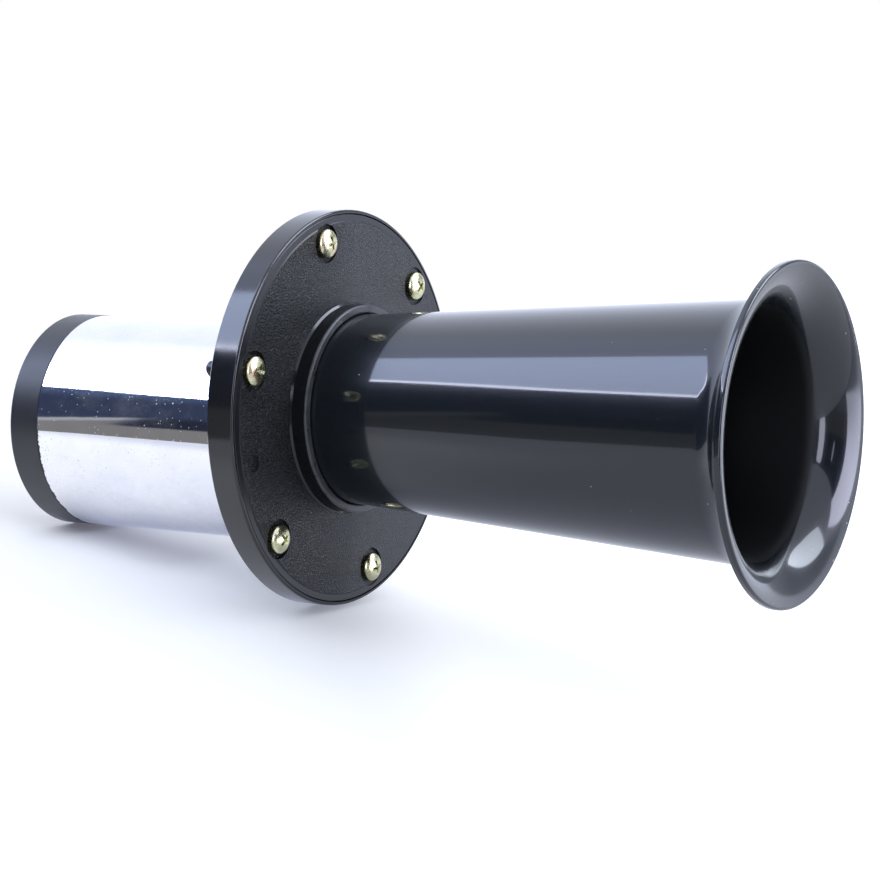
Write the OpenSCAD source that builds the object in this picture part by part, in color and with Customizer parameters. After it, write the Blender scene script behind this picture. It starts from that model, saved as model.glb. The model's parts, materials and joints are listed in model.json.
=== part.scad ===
// Motor-driven car horn: a ratchet wheel on the motor's shaft strikes a button on a steel diaphragm,
// and the diaphragm sounds into a flared trumpet.
// The motor's axis is the X axis and the bell faces +X. The origin is the middle of the rear cap's back face,
// where the tie rods stand out for a bracket. The flanges and the trumpet share a second axis, above the motor's.

/* [Layout] */
// Height of the flange and trumpet axis above the motor axis
axis_rise = 9.2; // [8.8:0.1:9.6]
// Length of the polished can that shows between the rear cap and the flange
can_shown = 90.7; // [90:0.1:110]
// Gap between turning parts and the parts around them
running_gap = 0.3; // [0.2:0.05:0.4]
// Gap between parts that are fitted together
fit_gap = 0.1; // [0.05:0.01:0.15]

/* [Trumpet] */
// Outer radius of the trumpet's straight spigot
spigot_r = 30.7; // [29:0.1:32]
// Length of the straight spigot in front of the flange face
spigot_len = 9.4; // [7:0.1:14]
// Length of the trumpet in front of the flange face
trumpet_len = 156.8; // [130:0.1:190]
// Half angle of the trumpet's cone in degrees
cone_angle = 3.8; // [2.5:0.1:4.4]
// Outer radius of the bell's lip
bell_r = 51.5; // [50:0.1:58]
// Angle at which the flare meets the lip in degrees
flare_angle = 82; // [76:1:86]
// Wall of the trumpet
trumpet_wall = 2.1; // [1.8:0.1:2.6]
// Rounding of the lip's front edge
lip_round = 0.8; // [0.5:0.05:1.2]

/* [Flanges] */
// Diameter of the flanges
flange_d = 128; // [126:0.5:140]
// Thickness of the two flanges at the rim
flange_t = 10; // [9:0.1:12]
// Thickness of the rear flange's floor
floor_t = 3.2; // [3:0.1:3.8]
// Depth of the dish behind the diaphragm
dish_depth = 1.2; // [0.8:0.1:1.4]
// Wall of the rear flange's rim around the front flange
rim_wall = 1.1; // [0.9:0.1:2]
// Rounding of the rim's front edge
rim_round = 0.8; // [0.4:0.1:0.8]
// Step from the front flange's face down to its smooth border
border_step = 0.35; // [0.2:0.05:0.6]
// Width of the smooth border
border_w = 2.2; // [1.5:0.1:3]
// Thickness of the front flange's web over the diaphragm
web_t = 2.8; // [2.4:0.1:3]
// Height of the collar that holds the trumpet
collar_h = 6; // [4.5:0.1:8]
// Wall of the collar
collar_wall = 2.8; // [2:0.1:4]
// Radius of the throat under the trumpet
throat_r = 27; // [20:0.5:27]
// Width of the clamped band of the diaphragm and gaskets
clamp_w = 15; // [13:0.5:16]

/* [Flange screws] */
// Number of flange screws
screw_count = 6; // [5:1:8]
// Distance of the flange screws inside the flanges' edge
screw_inset = 9; // [8.5:0.1:10]
// Turn of the screw circle about the trumpet's axis in degrees
screw_turn = 43.3; // [40:0.1:50]
// Diameter of the flange screws
screw_d = 5; // [4:0.5:5.5]
// Length of the screws under their heads
screw_len = 16; // [14:0.5:20]
// Diameter of the screw heads
head_d = 9.3; // [8:0.1:10]
// Height of the screw heads
head_h = 3.5; // [2.8:0.1:4]
// Diameter of the counterbores under the heads
counterbore_d = 12.6; // [11:0.1:13]
// Depth of the counterbores
counterbore_depth = 1; // [0.6:0.1:1.4]
// Diameter of the round moulding mark on the face
mark_d = 5.8; // [4:0.1:7]

/* [Diaphragm] */
// Thickness of the diaphragm
diaphragm_t = 0.5; // [0.3:0.05:0.6]
// Thickness of each gasket
gasket_t = 0.8; // [0.6:0.05:0.9]
// Height of the diaphragm's ring-shaped corrugation
ripple_h = 0.6; // [0.3:0.05:0.8]
// Distance of the corrugation's crest inside the clamped band
ripple_inset = 11; // [9.5:0.1:16]
// Width of the corrugation
ripple_w = 8; // [6:0.5:10]
// Radius of the striker button
button_r = 3.2; // [2.8:0.1:3.5]
// Radius of the button's stem
stem_r = 2; // [1.5:0.1:2.2]
// Radius of the button washers
button_washer_r = 8; // [6:0.5:10]
// Thickness of each button washer
button_washer_t = 0.8; // [0.6:0.05:0.9]

/* [Ratchet wheel] */
// Number of teeth
tooth_count = 10; // [8:1:14]
// Outer radius of the teeth
wheel_r = 13.6; // [13:0.1:14]
// Depth of the teeth at their outer ends
tooth_depth = 2; // [1.4:0.1:2.2]
// Radius at the teeth's inner ends
tooth_inner_r = 5.4; // [5.2:0.1:5.6]
// Angle of the narrow land on each tooth's crest in degrees
tooth_land = 2.5; // [1.5:0.5:4]
// Thickness of the wheel
wheel_t = 3.5; // [3.3:0.1:3.6]
// Height of the wheel nut
wheel_nut_h = 2; // [1.6:0.1:2.2]
// Width of the wheel nut across its flats
wheel_nut_w = 8; // [7:0.1:9]

/* [Motor can and cap] */
// Outer radius of the can
can_r = 35.8; // [35.6:0.1:37]
// Wall of the can
can_wall = 1.5; // [1.2:0.1:1.6]
// Depth of the rear flange's seat around the can
seat_depth = 8; // [6:0.5:10]
// Wall of the rear flange's seat
seat_wall = 2.7; // [2:0.1:4]
// Thickness of the flange behind its floor, inside the seat
seat_plate_t = 3; // [2.5:0.1:3.5]
// Length of the rear cap's band
cap_band = 11.6; // [11:0.1:13]
// How far the band stands proud of the can
cap_proud = 0.1; // [0:0.05:0.4]
// Wall of the rear cap's back
cap_wall = 3.2; // [2.8:0.1:3.6]
// Rounding of the rear cap's back edge
cap_round = 0.8; // [0.6:0.1:1.4]
// Length of the cap's sleeve inside the can
sleeve_len = 7.4; // [6.5:0.1:9]
// Radius of the cap's bearing boss
boss_r = 9; // [8.5:0.1:10]

/* [Tie rods] */
// Diameter of the tie rods
rod_d = 5; // [4:0.5:5]
// Diameter of the tie rods inside the motor, under their threads
rod_shank_d = 4.5; // [3.5:0.1:4.6]
// Distance of each tie rod's middle inside the can's wall
rod_inset = 5.5; // [5.4:0.1:5.7]
// Length of the rod ends behind the cap's back face
rod_end = 10; // [8:0.5:12]
// Diameter of the wells for the rod nuts
well_d = 11; // [10.6:0.1:11]
// Width of the rod nuts across their flats
rod_nut_w = 8; // [7:0.1:8]
// Height of the rod nuts
rod_nut_h = 4; // [3.2:0.1:4]
// Radius of the washers under the rod nuts
rod_washer_r = 5; // [4.4:0.1:5]
// Thickness of the washers under the rod nuts
rod_washer_t = 1; // [0.8:0.1:1.2]

/* [Motor] */
// Diameter of the shaft
shaft_d = 6; // [5:0.5:6]
// Outer radius of the bearings
bearing_r = 6; // [5.5:0.1:6.5]
// Length of the bearings
bearing_len = 8; // [7:0.5:8.5]
// Thickness of the front bearing plate
plate_t = 2.5; // [2:0.1:3]
// Radius of the bearing plate's housing
housing_r = 9; // [8.5:0.1:10]
// Thickness of the magnets
magnet_t = 7.5; // [7.5:0.1:9]
// Length of the magnets
magnet_len = 38; // [30:0.5:42]
// Angle that each magnet spans in degrees
magnet_angle = 124; // [110:1:126]
// Air gap between the magnets and the armature
air_gap = 0.8; // [0.6:0.05:1]
// Length of the armature core
core_len = 32; // [24:0.5:32]
// Number of slots and commutator bars
slot_count = 8; // [7:1:9]
// Width of the slot mouths
slot_mouth = 2; // [1.6:0.1:2.5]
// Radius of the round slots
slot_r = 4.2; // [3.6:0.1:4.2]
// Length of the windings past each end of the core
end_turn = 9; // [8.6:0.1:9]
// Outer radius of the commutator
commutator_r = 11.5; // [11:0.1:12]
// Length of the commutator's running face
commutator_len = 11; // [10:0.5:12]
// Gap between neighbouring bars
bar_gap = 0.8; // [0.5:0.1:1]

/* [Brushes] */
// Thickness of the brush plate
brush_plate_t = 2; // [1.6:0.1:2.4]
// Width of the square brushes
brush_w = 5.8; // [5:0.1:6]
// Length of the brushes
brush_len = 9; // [8:0.5:10]
// Wall of the brush holders
holder_wall = 0.9; // [0.7:0.05:1]
// Wire of the brush springs
spring_wire = 0.7; // [0.5:0.05:0.8]
// Turns of the brush springs
spring_turns = 5; // [4:1:6]
// Distance of the terminals inside the can's wall
terminal_inset = 14.3; // [14:0.1:14.6]
// Width of the spade terminals
terminal_w = 6.3; // [4.8:0.1:6.3]
// Thickness of the spade terminals
terminal_t = 0.8; // [0.6:0.05:1]
// Length of the terminals behind the cap
terminal_out = 8; // [6:0.5:9]

/* [Adjuster] */
// Length of the adjusting screw behind the cap's back face
adjuster_out = 9; // [8:0.5:11]
// Depth of the adjusting screw in the cap
adjuster_in = 3.6; // [3.2:0.1:4]
// Height of the lock nut
lock_nut_h = 5; // [4:0.1:5.5]
// Width of the lock nut across its flats
lock_nut_w = 10; // [9:0.1:11]

/* [Hidden] */
$fn = 96;

// Overshoot of cutting tools past a face
past = 1;
// Steps in a rounded edge of a turned part
round_steps = 8;

// Stations along X, from the cap's back face to the flange's face
flange_back_x = cap_band + can_shown;
face_x = flange_back_x + flange_t;
floor_x = flange_back_x + floor_t;
diaphragm_x = floor_x + gasket_t;
cover_back_x = diaphragm_x + diaphragm_t + gasket_t;
seat_x = flange_back_x - seat_plate_t;
can_end_x = seat_x - plate_t;
sleeve_x = cap_band + sleeve_len;
brush_plate_x = sleeve_x + brush_plate_t;

// Flanges
flange_r = flange_d / 2;
cover_r = flange_r - rim_wall - 2 * fit_gap;
screw_circle_r = flange_r - screw_inset;
diaphragm_r = cover_r - 0.6;
dish_r = diaphragm_r - clamp_w;
ripple_r = dish_r - ripple_inset;
rim_x = face_x - border_step;
collar_bore_r = spigot_r + fit_gap / 2;
collar_r = collar_bore_r + collar_wall;
collar_x = face_x + collar_h;
collar_round = 0.8;
shoulder_x = face_x - 0.5;
screw_hole_r = screw_d / 2 + 0.3;
thread_hole_r = screw_d / 2 + 0.05;
screw_boss_r = screw_d / 2 + 2.1;
screw_boss_h = 1.8;
mark_depth = 0.5;

// Trumpet: the flare's arc takes over from the cone and ends in the lip at the bell's radius
cone_x = face_x + spigot_len;
lip_x = face_x + trumpet_len - lip_round;
lip_r = bell_r - lip_round;
lip_in = trumpet_wall - lip_round;
cone_rise = tan(cone_angle);
start_angle = cone_angle - 1.5;
flare_r = (lip_r + lip_in * cos(flare_angle) - spigot_r - cone_rise * (lip_x - lip_in * sin(flare_angle) - cone_x))
    / (cos(start_angle) - cos(flare_angle) - cone_rise * (sin(flare_angle) - sin(start_angle)));
flare_out_r = flare_r + trumpet_wall;
flare_centre_r = lip_r + (flare_r + lip_in) * cos(flare_angle);
flare_centre_x = lip_x - (flare_r + lip_in) * sin(flare_angle);
bore_end = flare_point(flare_out_r, 180 - start_angle);
bore_r = bore_end[0] - cone_rise * (bore_end[1] - cone_x);

// Can, cap and tie rods
can_inner_r = can_r - can_wall;
seat_r = can_r + fit_gap;
cap_r = can_r + cap_proud;
sleeve_r = can_inner_r - fit_gap;
sleeve_inner_r = sleeve_r - 2;
rod_r = rod_d / 2;
rod_hole_r = rod_r + 0.2;
rod_shank_r = rod_shank_d / 2;
rod_reach = can_inner_r - rod_inset;
well_depth = rod_nut_h + rod_washer_t + 0.4;
pad_x = well_depth + cap_wall;
pad_r = well_d / 2 + 1.6;
rib_t = 2;
rib_x = cap_wall + 7;
dip_r = 10;
dip_depth = 0.8;
rod_front_x = floor_x - dish_depth - 0.5;

// Shaft, wheel and thrust ball
shaft_r = shaft_d / 2;
bush_r = shaft_r + 0.03;
ball_r = shaft_r;
adjuster_r = 3;
ball_x = adjuster_in + 0.05 + ball_r;
shaft_back_x = ball_x + ball_r + 0.1;
bearing_back_x = 10.4;
button_tip_x = floor_x - 1.9;
wheel_front_x = button_tip_x - running_gap;
wheel_back_x = wheel_front_x - wheel_t;
hub_face_x = wheel_front_x - 1;
shaft_tip_r = shaft_r - 0.5;
shaft_front_x = hub_face_x + wheel_nut_h + 0.3;
wheel_hole_r = wheel_r + 2.4;
thrust_washer_t = 0.8;
bearing_front_x = wheel_back_x - thrust_washer_t - running_gap;

// Armature, magnets and commutator
magnet_outer_r = can_inner_r - 0.1;
magnet_inner_r = magnet_outer_r - magnet_t;
core_r = magnet_inner_r - air_gap;
commutator_x = brush_plate_x + 1.5;
riser_x = commutator_x + commutator_len;
riser_len = 2;
riser_r = commutator_r + 2;
winding_gap = 3;
core_x = riser_x + riser_len + winding_gap + end_turn;
core_front_x = core_x + core_len;
magnet_x = core_x + core_len / 2 - magnet_len / 2;
slot_centre_r = core_r - 2.6 - slot_r;
bundle_r = slot_r - 0.1;
strand_r = 2.2;
hub_r = shaft_r + 4;
lead_r = 0.7;
clip_t = 0.6;
lip_len = 3.5;
clip_r = magnet_outer_r - clip_t;
clip_half = (180 - magnet_angle) / 2 - 0.4;
clip_len = magnet_len - 6;
lip_half = 0.6;
lip_inset = 1;

// Brushes and terminals
brush_x = commutator_x + commutator_len / 2;
brush_tip_r = commutator_r + 0.15;
brush_back_y = brush_tip_r + brush_len;
channel = brush_w + 0.2;
holder_half = channel / 2 + holder_wall;
holder_y = commutator_r + 2.4;
holder_end_y = can_inner_r - 1.8;
spring_r = brush_w / 2 - 0.9;
spring_sides = 8;
spring_steps = 20;
terminal_y = can_inner_r - terminal_inset;
slot_gap = 0.1;

// Points of an arc about [cx, cy], from angle a0 to a1
function arc(cx, cy, r, a0, a1, steps = round_steps) =
    [for (i = [0:steps]) let (a = a0 + (a1 - a0) * i / steps) [cx + r * cos(a), cy + r * sin(a)]];

// A solid turned about the X axis from a drawing in [radius, x]
module turn(z = 0) {
    translate([0, 0, z]) rotate([0, 90, 0]) rotate_extrude() children();
}

module turned(points, z = 0) {
    turn(z) polygon(points);
}

module rod(x0, x1, r) {
    translate([x0, 0, 0]) rotate([0, 90, 0]) cylinder(h = x1 - x0, r = r);
}

module tube(x0, x1, outer, inner) {
    difference() {
        rod(x0, x1, outer);
        rod(x0 - past, x1 + past, inner);
    }
}

// A drawing in [y, z], extruded along X
module prism(x0, x1) {
    translate([x0, 0, 0]) rotate([90, 0, 90]) linear_extrude(height = x1 - x0) children();
}

// A hexagon nut with its corners turned off at both ends
module hex_nut(x0, x1, flats, bore) {
    corner_r = flats / sqrt(3);
    out_r = corner_r + 0.2;
    drop = (out_r - flats / 2) * tan(30);
    difference() {
        intersection() {
            translate([x0, 0, 0]) rotate([0, 90, 0]) cylinder(h = x1 - x0, r = corner_r, $fn = 6);
            turned([
                [0, x0], [flats / 2, x0], [out_r, x0 + drop], [out_r, x1 - drop], [flats / 2, x1], [0, x1]
            ]);
        }
        rod(x0 - past, x1 + past, bore);
    }
}

// Puts a child at each flange screw, with the screw circle's centre towards -Y
module at_screws() {
    translate([0, 0, axis_rise])
        for (k = [0:screw_count - 1])
            rotate([screw_turn + 360 * k / screw_count, 0, 0])
                translate([0, screw_circle_r, 0]) children();
}

// Puts a child at each tie rod, above and below the motor's axis
module at_tie_rods() {
    for (side = [-1, 1]) translate([0, 0, side * rod_reach]) children();
}

// Puts a child on the left and, mirrored, on the right
module on_side(side) {
    rotate([side > 0 ? 0 : 180, 0, 0]) children();
}

// A point at distance r from the flare's centre, in the direction of angle a
function flare_point(r, a) = [flare_centre_r + r * cos(a), flare_centre_x + r * sin(a)];

module trumpet() {
    reach = flare_out_r + past;
    end_angle = 180 - flare_angle;
    joint = 2.5;
    bead = 0.04;
    back = flare_point(flare_r, end_angle);
    edge_x = back[1] + (bell_r - back[0]) / tan(flare_angle) - 3 * bead;
    cone_end = flare_point(flare_r, 180 - start_angle);
    color([0.04, 0.04, 0.05]) turn(axis_rise) {
        difference() {
            polygon([
                [bore_r, shoulder_x], [spigot_r - 0.4, shoulder_x], [spigot_r, shoulder_x + 0.6],
                [spigot_r, cone_x], cone_end + [cone_rise, 1], bore_end + [cone_rise, 1] * 0.2, [bore_r, cone_x]
            ]);
            translate([flare_centre_r, flare_centre_x]) circle(r = flare_r);
        }
        translate([flare_centre_r, flare_centre_x]) intersection() {
            difference() {
                circle(r = flare_out_r);
                circle(r = flare_r);
            }
            polygon([
                [0, 0], [-reach, -past], [-reach, reach],
                reach * [cos(end_angle), sin(end_angle)] / sin(end_angle)
            ]);
        }
        polygon(concat(
            [flare_point(flare_r + bead, end_angle + joint), [bell_r, edge_x]],
            arc(lip_r, lip_x + bead, lip_round, 0, end_angle),
            [flare_point(flare_out_r - bead, end_angle + joint)]
        ));
    }
}

module front_flange() {
    color([0.09, 0.09, 0.1]) difference() {
        turned(concat(
            [[throat_r, face_x - web_t], [dish_r, face_x - web_t], [dish_r, cover_back_x]],
            [[cover_r, cover_back_x], [cover_r, rim_x - 0.3], [cover_r - 0.3, rim_x]],
            [[cover_r - border_w, rim_x], [cover_r - border_w - border_step, face_x]],
            [[collar_r + 0.6, face_x], [collar_r, face_x + 0.6]],
            arc(collar_r - collar_round, collar_x - collar_round, collar_round, 0, 90),
            arc(collar_bore_r + collar_round, collar_x - collar_round, collar_round, 90, 180),
            [[collar_bore_r, shoulder_x], [throat_r, shoulder_x]]
        ), axis_rise);
        at_screws() {
            rod(cover_back_x - past, face_x + past, screw_hole_r);
            rod(face_x - counterbore_depth, face_x + past, counterbore_d / 2);
        }
        translate([0, 0, axis_rise])
            rotate([screw_turn + 150, 0, 0])
                translate([0, screw_circle_r, 0]) rod(face_x - mark_depth, face_x + past, mark_d / 2);
    }
}

module gasket(x0) {
    color([0.35, 0.28, 0.2]) difference() {
        translate([0, 0, axis_rise]) tube(x0, x0 + gasket_t, diaphragm_r, dish_r);
        at_screws() rod(x0 - past, x0 + gasket_t + past, screw_hole_r);
    }
}

module front_gasket() {
    gasket(diaphragm_x + diaphragm_t);
}

module rear_gasket() {
    gasket(floor_x);
}

// Height of the diaphragm's corrugation at radius r
function ripple(r) =
    let (d = abs(r - ripple_r) / (ripple_w / 2))
    d < 1 ? ripple_h * (1 + cos(180 * d)) / 2 : 0;

module diaphragm() {
    steps = 16;
    radii = concat(
        [stem_r + 0.05],
        [for (i = [0:steps]) ripple_r + ripple_w * (i / steps - 0.5)],
        [diaphragm_r]
    );
    last = len(radii) - 1;
    color([0.6, 0.6, 0.62]) difference() {
        turned(concat(
            [for (r = radii) [r, diaphragm_x + ripple(r)]],
            [for (i = [0:last]) let (r = radii[last - i]) [r, diaphragm_x + diaphragm_t + ripple(r)]]
        ), axis_rise);
        at_screws() rod(diaphragm_x - past, diaphragm_x + diaphragm_t + past, screw_hole_r);
    }
}

module rear_flange() {
    seat_outer_r = seat_r + seat_wall;
    back_x = seat_x - seat_depth;
    color([0.08, 0.08, 0.09]) difference() {
        union() {
            turned(concat(
                [[0, flange_back_x], [flange_r - 0.5, flange_back_x], [flange_r, flange_back_x + 0.5]],
                arc(flange_r - rim_round, rim_x - rim_round, rim_round, 0, 90),
                [[flange_r - rim_wall, rim_x], [flange_r - rim_wall, floor_x], [0, floor_x]]
            ), axis_rise);
            turned([
                [0, back_x], [seat_outer_r - 0.8, back_x], [seat_outer_r, back_x + 0.8],
                [seat_outer_r, floor_x - past], [0, floor_x - past]
            ]);
            at_screws() rod(flange_back_x - screw_boss_h, flange_back_x + past, screw_boss_r);
        }
        rod(back_x - past, seat_x, seat_r);
        rod(seat_x - past, face_x, wheel_hole_r);
        translate([0, 0, axis_rise]) rod(floor_x - dish_depth, face_x, dish_r);
        at_screws() rod(face_x - screw_len - 2 * past, floor_x + past, thread_hole_r);
        at_tie_rods() rod(seat_x - past, face_x, rod_shank_r + 0.05);
    }
}

module phillips_cut(depth, mouth_r) {
    blade = 1;
    intersection() {
        for (turn_angle = [0, 90])
            rotate([turn_angle, 0, 0])
                translate([-depth - past, -mouth_r - past, -blade / 2])
                    cube([depth + 2 * past, 2 * (mouth_r + past), blade]);
        turned([[0, -depth], [mouth_r * 0.35, -depth], [mouth_r, 0], [mouth_r, past], [0, past]]);
    }
}

// A pan-head screw with a cross recess, its head seated at x = 0
module flange_screw() {
    head_r = head_d / 2;
    side_h = head_h * 0.4;
    shank_r = screw_d / 2;
    difference() {
        turned(concat(
            [[0, -screw_len], [shank_r - 0.7, -screw_len], [shank_r, 0.8 - screw_len], [shank_r, 0], [head_r, 0]],
            [for (i = [0:9]) [head_r * cos(10 * i), side_h + (head_h - side_h) * sin(10 * i)]]
        ));
        translate([head_h, 0, 0]) phillips_cut(head_h * 0.6, head_r * 0.54);
    }
}

module flange_screws() {
    color([0.78, 0.7, 0.42]) at_screws() translate([face_x - counterbore_depth, 0, 0]) flange_screw();
}

module striker_button() {
    front_x = diaphragm_x + diaphragm_t + button_washer_t;
    back_x = diaphragm_x - button_washer_t;
    color([0.55, 0.55, 0.58]) turned(concat(
        [[0, button_tip_x], [button_r * 0.4, button_tip_x], [button_r, button_tip_x + 0.6], [button_r, back_x]],
        [[stem_r, back_x], [stem_r, front_x]],
        [for (i = [0:6]) [(stem_r + 1.1) * cos(15 * i), front_x + 0.9 * sin(15 * i)]]
    ), axis_rise);
}

module button_washers() {
    color([0.7, 0.7, 0.72]) translate([0, 0, axis_rise])
        for (x0 = [diaphragm_x - button_washer_t, diaphragm_x + diaphragm_t])
            tube(x0, x0 + button_washer_t, button_washer_r, stem_r + 0.05);
}

// The space over one tooth: its ramp falls from the land on a crest to the foot of the next tooth's steep face
module gash(pitch, reach) {
    span = pitch - tooth_land;
    ramp = atan(tooth_depth / (wheel_r * sin(span)));
    intersection() {
        prism(-tooth_depth - past, past) polygon([[0, 0], [reach, 0], reach * [cos(span), sin(span)]]);
        rotate([0, -ramp, 0]) translate([0, -reach, -past]) cube([tooth_depth + 2 * past, 2 * reach, 2 * reach]);
    }
}

module ratchet_wheel() {
    pitch = 360 / tooth_count;
    color([0.5, 0.5, 0.53]) difference() {
        rod(wheel_back_x, wheel_front_x, wheel_r);
        translate([wheel_front_x, 0, 0])
            for (k = [0:tooth_count - 1]) rotate([k * pitch + tooth_land, 0, 0]) gash(pitch, wheel_r + 4);
        rod(hub_face_x, wheel_front_x + past, tooth_inner_r);
        rod(wheel_back_x - past, wheel_front_x + past, shaft_tip_r + 0.02);
    }
}

module wheel_nut() {
    color([0.72, 0.72, 0.74]) hex_nut(hub_face_x, hub_face_x + wheel_nut_h, wheel_nut_w, shaft_tip_r + 0.02);
}

module motor_shaft() {
    color([0.68, 0.68, 0.7]) turned([
        [0, shaft_back_x], [shaft_r - 0.4, shaft_back_x], [shaft_r, shaft_back_x + 0.4], [shaft_r, wheel_back_x],
        [shaft_tip_r, wheel_back_x], [shaft_tip_r, shaft_front_x - 0.4], [shaft_tip_r - 0.4, shaft_front_x],
        [0, shaft_front_x]
    ]);
}

module thrust_washer() {
    color([0.75, 0.6, 0.35])
        tube(wheel_back_x - thrust_washer_t, wheel_back_x, bearing_r - 0.2, shaft_r + 0.02);
}

// Puts a child at each slot of the armature
module at_slots(turn_by = 0) {
    for (k = [0:slot_count - 1]) rotate([(k + turn_by) * 360 / slot_count, 0, 0]) children();
}

module armature_core() {
    color([0.45, 0.45, 0.48]) difference() {
        rod(core_x, core_front_x, core_r);
        rod(core_x - past, core_front_x + past, shaft_r + 0.02);
        at_slots(0.5) {
            translate([0, slot_centre_r, 0]) rod(core_x - past, core_front_x + past, slot_r);
            translate([core_x - past, slot_centre_r, -slot_mouth / 2])
                cube([core_len + 2 * past, core_r, slot_mouth]);
        }
    }
}

// A wire from its joint at the commutator's riser out to the coil in its slot, where it ends at x1
module armature_lead(x1) {
    joint_r = lead_r + 0.06;
    joint_y = riser_r - joint_r - 0.1;
    joint_x = riser_x + riser_len;
    run = [x1 - joint_x - lead_r, slot_centre_r - joint_y];
    translate([0, joint_y, 0]) rod(joint_x, joint_x + 2 * lead_r, joint_r);
    translate([joint_x + lead_r, joint_y, 0]) rotate([0, 0, atan2(run[1], run[0])]) rod(0, norm(run), lead_r);
}

// Each coil lies in two slots, three slot pitches apart, and crosses both ends of the core
module armature_windings() {
    half_span = 1.5 * 360 / slot_count;
    half_len = slot_centre_r * sin(half_span);
    rise = end_turn / 2;
    tilt = 6;
    bar_out = end_turn - 1.5;
    color([0.6, 0.3, 0.15]) {
        at_slots(0.5) {
            translate([0, slot_centre_r, 0]) rod(core_x - bar_out, core_front_x + bar_out, bundle_r);
            armature_lead(core_x - bar_out + past);
        }
        for (end = [[core_x - rise, -tilt], [core_front_x + rise, tilt]])
            at_slots()
                translate([end[0], slot_centre_r * cos(half_span), 0])
                    rotate([0, end[1], 0]) cylinder(h = 2 * half_len, r = strand_r, center = true);
    }
}

module commutator_hub() {
    color([0.3, 0.18, 0.1]) tube(commutator_x - 0.5, riser_x + riser_len, hub_r, shaft_r + 0.02);
}

module commutator_bars() {
    color([0.72, 0.42, 0.25]) difference() {
        union() {
            rod(commutator_x, riser_x + past, commutator_r);
            rod(riser_x, riser_x + riser_len, riser_r);
        }
        rod(commutator_x - past, riser_x + riser_len + past, hub_r);
        at_slots()
            translate([commutator_x - past, 0, -bar_gap / 2])
                cube([commutator_len + riser_len + 2 * past, riser_r + past, bar_gap]);
    }
}

module motor_can() {
    color([0.85, 0.86, 0.88]) turned([
        [can_inner_r, cap_band], [can_r, cap_band], [can_r, can_end_x - 0.4], [can_r - 0.4, can_end_x],
        [can_inner_r, can_end_x]
    ]);
}

module terminal_slots(x0, x1) {
    for (side = [-1, 1])
        translate([x0, side * terminal_y - terminal_t / 2 - slot_gap, -terminal_w / 2 - slot_gap])
            cube([x1 - x0, terminal_t + 2 * slot_gap, terminal_w + 2 * slot_gap]);
}

module rear_cap() {
    color([0.2, 0.2, 0.23]) difference() {
        union() {
            difference() {
                turned(concat(
                    [[0, dip_depth], [dip_r, dip_depth], [dip_r + dip_depth, 0]],
                    arc(cap_r - cap_round, cap_round, cap_round, -90, 0),
                    [[cap_r, cap_band - 0.2], [cap_r - 0.2, cap_band], [sleeve_r, cap_band]],
                    [[sleeve_r, sleeve_x - 0.6], [sleeve_r - 0.6, sleeve_x], [0, sleeve_x]]
                ));
                rod(cap_wall, sleeve_x + past, sleeve_inner_r);
            }
            rod(cap_wall - past, sleeve_x - past, boss_r);
            intersection() {
                rod(cap_wall - past, sleeve_x, sleeve_r - 1);
                union() {
                    at_tie_rods() rod(cap_wall - past, pad_x, pad_r);
                    for (angle = [45:90:315])
                        rotate([angle, 0, 0])
                            translate([cap_wall - past, 0, -rib_t / 2])
                                cube([rib_x - cap_wall + past, cap_r, rib_t]);
                }
            }
        }
        rod(-past, bearing_back_x + past, adjuster_r + 0.05);
        rod(bearing_back_x, sleeve_x + past, bearing_r);
        at_tie_rods() {
            rod(-past, well_depth, well_d / 2);
            rod(-past, sleeve_x + past, rod_hole_r);
        }
        terminal_slots(-past, cap_wall + past);
    }
}

module bearing_plate() {
    color([0.62, 0.62, 0.65]) difference() {
        union() {
            rod(can_end_x, seat_x, can_r);
            rod(can_end_x - 1.5, can_end_x + past, sleeve_r);
            rod(bearing_front_x - bearing_len - 0.5, seat_x, housing_r);
        }
        rod(bearing_front_x - bearing_len, seat_x + past, bearing_r);
        rod(bearing_front_x - bearing_len - past, seat_x, shaft_r + 1);
        at_tie_rods() rod(can_end_x - 2 * past, seat_x + past, rod_hole_r);
        for (angle = [30:60:330])
            if (abs(cos(angle)) > 0.1)
                rotate([angle, 0, 0])
                    translate([0, (housing_r + can_r) / 2, 0]) rod(can_end_x - 2 * past, seat_x + past, 4);
    }
}

module front_bearing() {
    color([0.75, 0.6, 0.35]) tube(bearing_front_x - bearing_len, bearing_front_x, bearing_r, bush_r);
}

module rear_bearing() {
    color([0.75, 0.6, 0.35]) tube(bearing_back_x, bearing_back_x + bearing_len, bearing_r, bush_r);
}

// A sector of a tube about the X axis, centred on +Y
module tube_sector(x0, x1, outer, inner, half_angle) {
    intersection() {
        tube(x0, x1, outer, inner);
        prism(x0, x1) polygon(concat(
            [[0, 0]],
            [for (i = [-2:2]) 2 * outer * [cos(half_angle * i / 2), sin(half_angle * i / 2)]]
        ));
    }
}

module magnet() {
    color([0.22, 0.22, 0.24])
        tube_sector(magnet_x, magnet_x + magnet_len, magnet_outer_r, magnet_inner_r, magnet_angle / 2);
}

module magnet_left() {
    on_side(-1) magnet();
}

module magnet_right() {
    on_side(1) magnet();
}

// A spring clip that spreads the magnets apart: a strip along the can, with a lip against each magnet
module magnet_clip() {
    x0 = magnet_x + magnet_len / 2 - clip_len / 2;
    color([0.66, 0.67, 0.7]) rotate([90, 0, 0]) {
        tube_sector(x0, x0 + clip_len, magnet_outer_r, clip_r, clip_half);
        for (side = [-1, 1])
            rotate([side * (clip_half - 2 * lip_half), 0, 0])
                tube_sector(x0 + lip_inset, x0 + clip_len - lip_inset, clip_r + clip_t / 2, clip_r - lip_len, lip_half);
    }
}

module magnet_clip_upper() {
    magnet_clip();
}

module magnet_clip_lower() {
    rotate([180, 0, 0]) magnet_clip();
}

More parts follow.
